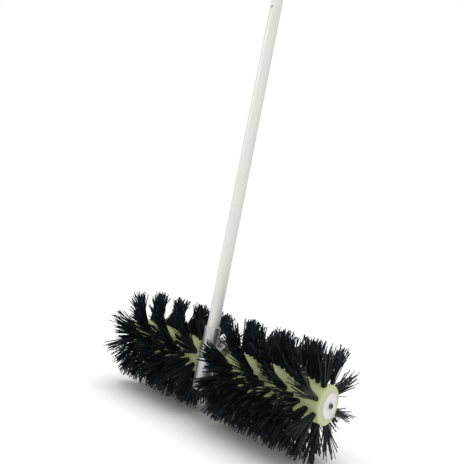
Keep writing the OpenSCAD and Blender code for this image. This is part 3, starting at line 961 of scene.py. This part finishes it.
@dataclass
class BristleTufts:
    """Tufts of coarse black filament, one piece for each helical row.

    Leans are in degrees. Most strands lean by middle_lean in the middle of the tuft and rim_lean
    more at its rim, give or take lean_scatter, and a few strays lean from stray_least of the most
    to all of it. The values from shortest to broken_lengths are shares, of a strand's full length
    or of all strands. The tidy values shape the closer tufts beside the gearbox.
    """

    plan: DrumPlan
    shop: FinishShop
    seed: int = 41
    strand_width: float = 0.0029
    strand_thickness: float = 0.0018
    strand_joints: int = 4
    strand_length: float = 0.080
    strand_taper: float = 0.925
    strands: int = 25
    tidy_strands: int = 44
    tidy_widen: float = 2.2
    variants: int = 9
    foot_height: float = 0.0285
    foot_radius: float = 0.0026
    most_lean: float = 15.5
    tightest: float = 0.78
    middle_lean: float = 1.0
    rim_lean: float = 7.5
    lean_scatter: float = 3.4
    stray_share: float = 0.12
    stray_least: float = 0.7
    tidy_variants: int = 4
    tidy_lean: float = 8.5
    tidy_bends: int = 3
    tidy_tufts: int = 2
    end_leans: tuple[float, ...] = (12.5, 8.0, 3.5)
    outer_lean: float = 1.0
    shortest: float = 0.84
    longest: float = 1.02
    broken_share: float = 0.10
    broken_lengths: tuple[float, float] = (0.80, 0.92)
    darkness: float = 2.2
    bends: tuple[float, ...] = (0.0, 0.004, -0.005, 0.008, 0.011)

    def strand(self, bend: float) -> Piece:
        """Models one strand, standing on the origin and bending towards +X.

        Args:
            bend: How far its tip leans out of straight.

        Returns:
            The strand: a flattened filament of a few short lengths.
        """
        Bench.clear()
        bpy.ops.mesh.primitive_circle_add(
            vertices=4, radius=self.strand_width / 2, fill_type="NGON", location=(0, 0, 0)
        )
        piece = bpy.context.active_object
        bpy.ops.object.mode_set(mode="EDIT")
        bpy.ops.mesh.select_all(action="SELECT")
        bpy.ops.transform.resize(
            value=(1.0, self.strand_thickness / self.strand_width, 1.0), center_override=(0, 0, 0)
        )
        step = self.strand_length / self.strand_joints
        reached = 0.0
        for joint in range(1, self.strand_joints + 1):
            offset = bend * (joint / self.strand_joints) ** 2
            bpy.ops.mesh.extrude_region_move(
                TRANSFORM_OT_translate={"value": (offset - reached, 0.0, step)}
            )
            reached = offset
            bpy.ops.transform.resize(
                value=(self.strand_taper, self.strand_taper, 1.0),
                center_override=(offset, 0.0, joint * step),
            )
        bpy.ops.mesh.select_all(action="SELECT")
        bpy.ops.mesh.normals_make_consistent(inside=False)
        bpy.ops.object.mode_set(mode="OBJECT")
        return piece

    def tuft(
        self,
        strands: list[Piece],
        count: int,
        most_lean: float,
        rng: random.Random,
        widen: float = 1.0,
    ) -> Piece:
        """Gathers strands into a tuft that flares from its foot.

        Args:
            strands: The strand shapes to draw from.
            count: How many strands it has.
            most_lean: The furthest that a strand leans along X, in degrees.
            rng: The source of the scatter.
            widen: How much further a strand may lean along Y.

        Returns:
            The tuft, about +Z, with the axle at its origin.
        """
        pieces = []
        flare = most_lean / self.most_lean
        for _ in range(count):
            out = math.sqrt(rng.random())
            heading = rng.uniform(0.0, 2 * math.pi)
            usual = self.middle_lean + self.rim_lean * out
            lean = min(most_lean, abs(rng.gauss(usual, self.lean_scatter)) * flare)
            if rng.random() < self.stray_share:
                lean = rng.uniform(self.stray_least, 1.0) * most_lean
            along, round_drum = lean * math.cos(heading), widen * lean * math.sin(heading)
            heading, lean = math.atan2(round_drum, along), math.hypot(along, round_drum)
            length = rng.uniform(self.shortest, self.longest)
            if rng.random() < self.broken_share:
                length *= rng.uniform(*self.broken_lengths)
            foot = Matrix.Translation((self.foot_radius * out, 0.0, self.foot_height))
            tilt = Matrix.Rotation(math.radians(lean), 4, "Y")
            twist = Matrix.Rotation(rng.uniform(0.0, 2 * math.pi), 4, "Z")
            stretch = Matrix.Diagonal((1.0, 1.0, length, 1.0))
            turn = Matrix.Rotation(heading, 4, "Z")
            shape = rng.choice(strands)
            piece = Bench.copy(shape, turn @ foot @ tilt @ twist @ stretch)
            tone = piece.data.attributes.new(STRAND_TONE, "FLOAT", "POINT")
            value = rng.random() ** self.darkness
            for entry in tone.data:
                entry.value = value
            pieces.append(piece)
        return Bench.join("tuft", pieces)

    def build(self) -> None:
        """Builds every row of both drums."""
        rng = random.Random(self.seed)
        shapes = [self.strand(bend) for bend in self.bends]
        tufts = [
            self.tuft(shapes, self.strands, self.most_lean * rng.uniform(self.tightest, 1.0), rng)
            for _ in range(self.variants)
        ]
        straighter = shapes[: self.tidy_bends]
        tidy = [
            self.tuft(straighter, self.tidy_strands, self.tidy_lean, rng, self.tidy_widen)
            for _ in range(self.tidy_variants)
        ]
        for side in Side:
            for row in range(1, self.plan.rows + 1):
                self.row(side, row, tufts, tidy, rng)
        for spare in shapes + tufts + tidy:
            bpy.data.objects.remove(spare)

    def row(
        self, side: Side, row: int, tufts: list[Piece], tidy: list[Piece], rng: random.Random
    ) -> None:
        """Sets one row's tufts in its drum.

        Args:
            side: The drum.
            row: The row, from 1.
            tufts: The tuft shapes to draw from.
            tidy: Closer tufts, for the end that leans over the gearbox.
            rng: The source of the scatter.
        """
        leans = dict(enumerate(-lean for lean in self.end_leans))
        leans[self.plan.row_tufts - 1] = self.outer_lean
        pieces = []
        for index in range(self.plan.row_tufts):
            lean = leans.get(index, 0.0)
            surface = Matrix.Translation((0.0, 0.0, self.plan.core_radius))
            tip = Matrix.Rotation(math.radians(side.value * lean), 4, "Y")
            near_case = index < self.tidy_tufts
            turned = rng.choice((0.0, math.pi)) if near_case else rng.uniform(0.0, 2 * math.pi)
            spin = Matrix.Rotation(turned, 4, "Z")
            leaning = surface @ tip @ surface.inverted()
            place = self.plan.tuft_place(side, row, index) @ leaning @ spin
            pieces.append(Bench.copy(rng.choice(tidy if near_case else tufts), place))
        piece = Bench.join(f"{side.prefix}_bristles_{row}", pieces)
        self.shop.fit(piece, Slot.BRISTLE, Body.BRUSH, f"{side.prefix}_tuft_row_{row}")


@dataclass
class DrumCores:
    """The two green cores, bored through and drilled for their tufts."""

    plan: DrumPlan
    shop: FinishShop
    sides: int = 128
    rim_round: float = 0.0013
    hole_radius: float = 0.0037
    hole_chamfer: float = 0.0006
    hole_floor: float = 0.026
    hole_sides: int = 18
    drill_over: float = 0.004

    def build(self) -> None:
        """Builds both cores."""
        for side in Side:
            self.shop.fit(self.core(side), Slot.CORE, Body.BRUSH, f"{side.prefix}_drum_core")

    def core(self, side: Side) -> Piece:
        """Models one core.

        Args:
            side: The drum.

        Returns:
            The core, in place.
        """
        middle = (self.plan.core_inner + self.plan.core_outer) / 2
        radius = self.plan.core_radius
        Bench.clear()
        bpy.ops.mesh.primitive_cylinder_add(
            vertices=self.sides,
            radius=radius,
            depth=self.plan.core_outer - self.plan.core_inner,
            location=on_axle(side.value * middle),
            rotation=(0.0, math.pi / 2, 0.0),
        )
        piece = Bench.settle(bpy.context.active_object)
        piece.name = f"{side.prefix}_core"
        Bench.bore(piece, ALONG, AXLE, radius, self.plan.bore_radius)
        ends = [side.value * x for x in (self.plan.core_inner, self.plan.core_outer)]

        def on_rim(first: Vector, second: Vector) -> bool:
            """Says whether an edge runs round either end's outer rim."""
            return abs(first.x - second.x) < NEAR and all(
                min(abs(point.x - end) for end in ends) < NEAR
                and abs(math.hypot(point.y - AXLE.y, point.z - AXLE.z) - radius) < NEAR
                for point in (first, second)
            )

        Bench.bevel_edges(piece, on_rim, self.rim_round, 2)
        Bench.cut(piece, self._drills(side))
        Bench.smooth(piece)
        return piece

    def _drills(self, side: Side) -> Piece:
        """Models the tuft holes of one drum as a single cutter.

        Args:
            side: The drum.

        Returns:
            The cutter: one chamfered drill for each tuft.
        """
        surface = self.plan.core_radius
        Bench.clear()
        bpy.ops.mesh.primitive_cylinder_add(
            vertices=self.hole_sides,
            radius=self.hole_radius,
            depth=surface - self.hole_chamfer - self.hole_floor,
            location=(0.0, 0.0, (surface - self.hole_chamfer + self.hole_floor) / 2),
        )
        drill = Bench.settle(bpy.context.active_object)
        Bench.select_faces(drill, lambda face: face.normal.z > FACING)
        flare = 1.0 + self.hole_chamfer / self.hole_radius
        for step, grow in ((self.hole_chamfer, flare), (self.drill_over, 1.0)):
            bpy.ops.mesh.extrude_region_move(TRANSFORM_OT_translate={"value": (0, 0, step)})
            bpy.ops.transform.resize(value=(grow, grow, 1.0), center_override=(0, 0, surface))
        bpy.ops.object.mode_set(mode="OBJECT")
        drills = [
            Bench.copy(drill, self.plan.tuft_place(side, row, index))
            for row in range(1, self.plan.rows + 1)
            for index in range(self.plan.row_tufts)
        ]
        bpy.data.objects.remove(drill)
        return Bench.join("drills", drills)


@dataclass
class OuterHubs:
    """The pale hub discs that close the drums' outer ends."""

    plan: DrumPlan
    shop: FinishShop
    radius: float = 0.02242
    depth: float = 0.016
    flange_radius: float = 0.026
    flange_edge: float = 0.0006
    face_radius: float = 0.0222
    proud: float = 0.003
    edge_round: float = 0.0005
    dish_width: float = 0.0030
    dish_depth: float = 0.0011
    boss_radius: float = 0.0095
    pocket_radius: float = 0.0055
    pocket_depth: float = 0.002
    sides: int = 96

    def build(self) -> None:
        """Builds both outer hubs."""
        for side in Side:
            self.shop.fit(self.hub(side), Slot.HUB, Body.BRUSH, f"{side.prefix}_outer_hub")

    def hub(self, side: Side) -> Piece:
        """Models one hub: a flanged plug, its face dished round a middle with the screw's pocket.

        Args:
            side: The drum.

        Returns:
            The hub, in place.
        """
        inner, lap, outer = (
            on_axle(side.value * (self.plan.core_outer + out))
            for out in (-self.depth, 0.0, self.proud)
        )
        piece = Bench.rod(self.radius, inner, lap, self.sides)
        piece.name = f"{side.prefix}_hub_disc"

        def outer_cap(face: Face) -> bool:
            """Says whether a face is the flat one at the hub's outer end."""
            return face.normal.x * side.value > FACING and len(face.verts) == self.sides

        Bench.select_faces(piece, outer_cap)
        wider = self.flange_radius / self.radius
        narrower = self.face_radius / self.flange_radius
        out = ALONG * side.value
        slope = self.proud - self.flange_edge
        for rise, grow in ((0.0, wider), (self.flange_edge, 1.0), (slope, narrower)):
            bpy.ops.mesh.extrude_region_move(TRANSFORM_OT_translate={"value": out * rise})
            bpy.ops.transform.resize(value=(1.0, grow, grow), center_override=lap)
        bpy.ops.object.mode_set(mode="OBJECT")

        def outer_rim(first: Vector, second: Vector) -> bool:
            """Says whether an edge runs round the hub's outer rim."""
            return all(abs(point.x - outer.x) < NEAR for point in (first, second))

        Bench.bevel_edges(piece, outer_rim, self.edge_round, 3)
        Bench.inset_faces(piece, outer_cap, self.dish_width, -self.dish_depth)
        dish = self.face_radius - self.edge_round - self.dish_width
        Bench.inset_faces(piece, outer_cap, dish - self.boss_radius, self.dish_depth)
        Bench.inset_faces(
            piece, outer_cap, self.boss_radius - self.pocket_radius, -self.pocket_depth
        )
        Bench.mend_normals(piece)
        Bench.smooth(piece)
        return piece


# ---- boom -------------------------------------------------------------------------------------


@dataclass
class BoomTube:
    """The straight painted tube, with its insertion ring and locating hole near the free end."""

    shop: FinishShop
    radius: float = 0.0127
    wall: float = 0.0016
    length: float = 0.7425
    ring_drop: float = 0.070
    ring_width: float = 0.0012
    ring_depth: float = 0.00035
    ring_slope: float = 0.0001
    hole_drop: float = 0.019
    hole_radius: float = 0.003
    hole_reach: float = 1.5
    hole_sides: int = 40
    lip_round: float = 0.00045
    sides: int = 96

    def build(self) -> None:
        """Models the tube and hangs it on the boom."""
        top = Vector((0.0, 0.0, 0.0))
        piece = Bench.rod(self.radius, UP * -self.length, top, self.sides)
        piece.name = "painted_tube"
        Bench.bore(piece, UP, top, self.radius, self.radius - self.wall)
        Bench.bevel_edges(piece, self._on_lip, self.lip_round, 2)
        for drop in (self.ring_drop, self.ring_drop + self.ring_width):
            Bench.score(piece, UP * -drop, UP)
        Bench.inset_faces(piece, self._on_ring, self.ring_slope, -self.ring_depth)
        axis = UP * -self.hole_drop
        reach = FRONT * (self.radius * self.hole_reach)
        Bench.cut(piece, Bench.rod(self.hole_radius, axis, axis + reach, self.hole_sides))
        Bench.smooth(piece)
        self.shop.fit(piece, Slot.BOOM, Body.BOOM, "boom_tube")

    def _on_lip(self, first: Vector, second: Vector) -> bool:
        """Says whether an edge runs round either end of the tube."""
        return abs(first.z - second.z) < NEAR and min(-first.z, first.z + self.length) < NEAR

    def _on_ring(self, face: Face) -> bool:
        """Says whether a face lies on the outside between the ring's two edges.

        Args:
            face: A face of the tube.

        Returns:
            True if it is part of the ring.
        """
        centre = face.calc_center_median()
        outside = math.hypot(centre.x, centre.y) > self.radius - self.wall / 2
        return outside and self.ring_drop < -centre.z < self.ring_drop + self.ring_width


@dataclass
class GearCase:
    """The cast case of the worm and its wheel, with the split collar that grips the boom.

    Heights are measured from the axle and the other places from the boom's axis. The casting has
    the thickness of machining to spare on its machined faces, and a cutter reaches over past them.
    """

    shop: FinishShop
    worm_radius: float = 0.0185
    worm_low: float = -0.048
    collar_radius: float = 0.0165
    collar_low: float = 0.038
    collar_high: float = 0.077
    boom_radius: float = 0.01275
    boom_seat: float = 0.042
    worm_bore: float = 0.014
    worm_bore_high: float = 0.027
    ear_half: float = 0.009
    ear_near: float = 0.010
    ear_far: float = 0.029
    ear_low: float = 0.042
    ear_high: float = 0.056
    slot_width: float = 0.002
    slot_near: float = 0.008
    web_half: float = 0.004
    web_near: float = 0.012
    web_far: float = 0.039
    web_low: float = 0.028
    web_high: float = 0.042
    pad_radius: float = 0.007
    pad_half: float = 0.003
    pad_angle: float = 60.0
    wheel_radius: float = 0.043
    chamber_radius: float = 0.0375
    chamber_half: float = 0.0095
    case_left: float = -0.014
    flange_left: float = 0.0105
    flange_radius: float = 0.0475
    parting: float = 0.0185
    boss_radius: float = 0.025
    boss_out: float = 0.0295
    seal_radius: float = 0.016
    seal_in: float = 0.0233
    machining: float = 0.0015
    over: float = 0.01
    edge: float = 0.0014
    grain: float = 0.0011
    rounds: int = 5
    shading: float = 38.0

    def build(self) -> None:
        """Models the case and hangs it on the boom."""
        piece = Bench.cast("cast_gear_case", self._lumps(), self.grain, self.rounds)
        self._face(piece)
        for cutter in self._cutters():
            Bench.cut(piece, cutter)
        Bench.smooth(piece, self.shading)
        self.shop.fit(piece, Slot.CASE, Body.BOOM, "gear_case")

    def _lumps(self) -> list[Piece]:
        """Models the rough solids of the casting, with metal to spare on the machined faces.

        Returns:
            The solids, overlapping one another.
        """
        spare = self.machining
        worm_foot, collar_top = on_boom(self.worm_low - spare), on_boom(self.collar_high + spare)
        left, parting = on_axle(self.case_left), on_axle(self.parting)
        rim, face = on_axle(self.flange_left), on_axle(self.parting + spare)
        return [
            Bench.rod(self.worm_radius, worm_foot, on_boom(self.collar_low), 64, self.edge),
            Bench.rod(self.collar_radius, on_boom(0.0), collar_top),
            Bench.rod(self.wheel_radius, left, parting, 96, self.edge),
            Bench.rod(self.flange_radius, rim, face, 96),
            Bench.rod(self.boss_radius, on_axle(-self.boss_out - spare), AXLE),
            self._ears(),
            self._web(),
            self._plug_pad(),
        ]

    def _ears(self) -> Piece:
        """Models the block that the clamp screw draws together."""
        low = Vector((-self.ear_half, self.ear_near, AXLE.z + self.ear_low))
        high = Vector((self.ear_half, self.ear_far, AXLE.z + self.ear_high))
        return Bench.block(low, high, self.edge)

    def _web(self) -> Piece:
        """Models the web between the collar and the wheel's chamber."""
        low = Vector((-self.web_half, self.web_near, AXLE.z + self.web_low))
        high = Vector((self.web_half, self.web_far, AXLE.z + self.web_high))
        return Bench.block(low, high)

    def _plug_pad(self) -> Piece:
        """Models the round pad that the grease plug screws into, behind and above the axle."""
        angle = math.radians(self.pad_angle)
        out = Vector((0.0, math.cos(angle), math.sin(angle)))
        foot, top = (
            AXLE + out * (self.wheel_radius + rise) for rise in (-self.pad_half, self.pad_half)
        )
        return Bench.rod(self.pad_radius, foot, top)

    def _face(self, piece: Piece) -> None:
        """Machines the collar's top, the case's foot, the parting face and the boss's end.

        Args:
            piece: The casting.
        """
        for at, out in (
            (on_boom(self.collar_high), UP),
            (on_boom(self.worm_low), -UP),
            (on_axle(self.parting), ALONG),
            (on_axle(-self.boss_out), -ALONG),
        ):
            Bench.score(piece, at, out, trim=True)

    def _cutters(self) -> list[Piece]:
        """Models what is bored and sawn out of the casting.

        Returns:
            One solid for each cut.
        """
        over, seat, top = self.over, on_boom(self.boom_seat), on_boom(self.collar_high + self.over)
        worm_foot, worm_top = on_boom(self.worm_low - over), on_boom(self.worm_bore_high)
        chamber, open_side = on_axle(-self.chamber_half), on_axle(self.parting + over)
        slot_low = seat + Vector((-self.slot_width / 2, self.slot_near, 0.0))
        slot_high = top + Vector((self.slot_width / 2, self.ear_far + over, 0.0))
        boss_end = on_axle(-self.boss_out - over)
        return [
            Bench.rod(self.boom_radius, seat, top, 96),
            Bench.rod(self.worm_bore, worm_foot, worm_top),
            Bench.rod(self.chamber_radius, chamber, open_side, 96),
            Bench.rod(self.seal_radius, boss_end, on_axle(-self.seal_in)),
            Bench.block(slot_low, slot_high),
        ]


@dataclass
class SideCover:
    """The round cover over the wheel's chamber, scalloped where the worm's housing passes."""

    shop: FinishShop
    case: GearCase
    inner: float = 0.019
    outer: float = 0.0235
    edge: float = 0.0011
    fillet_radius: float = 0.0285
    fillet_rise: float = 0.0015
    boss_corner: float = 0.001
    boss_draft: float = 0.0002
    shoulder_radius: float = 0.013
    scallop_gap: float = 0.0003
    scallop_reach: float = 0.06
    sides: int = 128

    def build(self) -> None:
        """Models the cover and hangs it on the boom."""
        inner, outer = on_axle(self.inner), on_axle(self.outer)
        piece = Bench.rod(self.case.flange_radius, inner, outer, self.sides, self.edge)
        piece.name = "cast_side_cover"
        self._raise_boss(piece)
        for cutter in self._cutters():
            Bench.cut(piece, cutter)
        Bench.smooth(piece)
        self.shop.fit(piece, Slot.CASE, Body.BOOM, "side_cover")

    def _raise_boss(self, piece: Piece) -> None:
        """Draws the axle's boss out of the cover's face, on a sloping fillet.

        Args:
            piece: The plain disc.
        """
        rise = self.case.boss_out - self.outer
        flat = self.case.flange_radius - self.edge - self.fillet_radius

        def cap(face: Face) -> bool:
            """Says whether a face is the flat one on the cover's outside."""
            return face.normal.x > FACING and len(face.verts) == self.sides

        Bench.inset_faces(piece, cap, flat)
        Bench.select_faces(piece, cap)
        for thickness, depth in (
            (self.fillet_radius - self.case.boss_radius, self.fillet_rise),
            (self.boss_draft, rise - self.fillet_rise - self.boss_corner),
            (self.boss_corner, self.boss_corner),
        ):
            bpy.ops.mesh.inset(thickness=thickness, depth=depth)
        bpy.ops.object.mode_set(mode="OBJECT")

    def _cutters(self) -> list[Piece]:
        """Models what is bored out of the cover.

        Returns:
            One solid for each cut.
        """
        near = on_axle(self.inner - self.case.over)
        far = on_axle(self.case.boss_out + self.case.over)
        room = self.case.worm_radius + self.scallop_gap
        low, high = on_boom(-self.scallop_reach), on_boom(self.scallop_reach)
        return [
            Bench.rod(self.case.seal_radius, on_axle(self.case.seal_in), far),
            Bench.rod(self.shoulder_radius, near, far),
            Bench.rod(room, low, high, 96),
        ]


# ---- studio -----------------------------------------------------------------------------------


@dataclass
class Studio:
    """Pale floor, soft light and the camera."""

    floor_drop: float = -0.9015
    floor_size: float = 14.0
    camera_at: Vector = field(default_factory=lambda: Vector((0.6747, -0.7706, -0.5609)))
    camera_right: Vector = field(default_factory=lambda: Vector((0.7453, 0.6383, 0.1926)))
    camera_up: Vector = field(default_factory=lambda: Vector((-0.1114, -0.1656, 0.9799)))
    ambient: float = 0.5
    overhead: float = 1.95
    overhead_spread: float = 70.0
    lens: float = 37.98
    sensor: float = 36.0

    def build(self) -> None:
        """Sets up the whole studio."""
        self.floor()
        self.surroundings()
        self.lights()
        self.camera()

    def floor(self) -> None:
        """Lays the floor."""
        Bench.clear()
        bpy.ops.mesh.primitive_plane_add(
            size=self.floor_size, location=(0.0, 0.0, self.floor_drop)
        )
        floor = bpy.context.active_object
        floor.name = "floor"
        Bench.settle(floor)
        material = bpy.data.materials.new("floor_paper")
        material.use_nodes = True
        surface = material.node_tree.nodes["Principled BSDF"]
        surface.inputs["Base Color"].default_value = (0.93, 0.93, 0.93, 1.0)
        surface.inputs["Roughness"].default_value = 0.9
        floor.data.materials.append(material)

    def surroundings(self) -> None:
        """Gives the open studio behind the floor its paleness and its soft light."""
        world = bpy.data.worlds.new("studio")
        world.use_nodes = True
        tree = world.node_tree
        soft = tree.nodes["Background"]
        soft.inputs["Strength"].default_value = self.ambient
        seen = tree.nodes.new("ShaderNodeBackground")
        for background in (soft, seen):
            background.inputs["Color"].default_value = (1.0, 1.0, 1.0, 1.0)
        ray = tree.nodes.new("ShaderNodeLightPath")
        mix = tree.nodes.new("ShaderNodeMixShader")
        tree.links.new(ray.outputs["Is Camera Ray"], mix.inputs["Fac"])
        tree.links.new(soft.outputs["Background"], mix.inputs[1])
        tree.links.new(seen.outputs["Background"], mix.inputs[2])
        tree.links.new(mix.outputs["Shader"], tree.nodes["World Output"].inputs["Surface"])
        bpy.context.scene.world = world
        bpy.context.scene.view_settings.view_transform = "Standard"

    def lights(self) -> None:
        """Hangs a wide overhead sun, a large key light and a fill."""
        aim = Vector((0.0, 0.03, -0.6))
        sky = bpy.data.lights.new("overhead", "SUN")
        sky.energy = self.overhead
        sky.angle = math.radians(self.overhead_spread)
        above = bpy.data.objects.new("overhead", sky)
        above.location = (0.0, 0.0, 2.0)
        bpy.context.scene.collection.objects.link(above)
        for name, place, size, power in (
            ("key", Vector((-1.6, -1.8, 0.6)), 1.6, 16.0),
            ("fill", Vector((2.0, -1.2, 0.0)), 2.0, 9.0),
        ):
            lamp = bpy.data.lights.new(name, "AREA")
            lamp.size = size
            lamp.energy = power
            holder = bpy.data.objects.new(name, lamp)
            holder.location = place
            holder.rotation_euler = (aim - place).to_track_quat("-Z", "Y").to_euler()
            bpy.context.scene.collection.objects.link(holder)

    def camera(self) -> None:
        """Places the camera."""
        data = bpy.data.cameras.new("camera")
        data.lens = self.lens
        data.sensor_width = self.sensor
        data.clip_end = 50.0
        holder = bpy.data.objects.new("camera", data)
        back = self.camera_right.cross(self.camera_up)
        turn = Matrix((self.camera_right, self.camera_up, back)).transposed().to_4x4()
        holder.matrix_world = Matrix.Translation(self.camera_at) @ turn
        bpy.context.scene.collection.objects.link(holder)
        bpy.context.scene.camera = holder


def main() -> None:
    """Builds the pieces in order, dresses them and sets up the studio."""
    logging.basicConfig(level=logging.INFO, format="%(message)s")
    shop = FinishShop(ShaderKit())
    shop.stock()
    shop.dress_carried()
    plan = DrumPlan()
    DrumCores(plan, shop).build()
    OuterHubs(plan, shop).build()
    BristleTufts(plan, shop).build()
    BoomTube(shop).build()
    case = GearCase(shop)
    case.build()
    SideCover(shop, case).build()
    Studio().build()


if __name__ == "__main__":
    main()
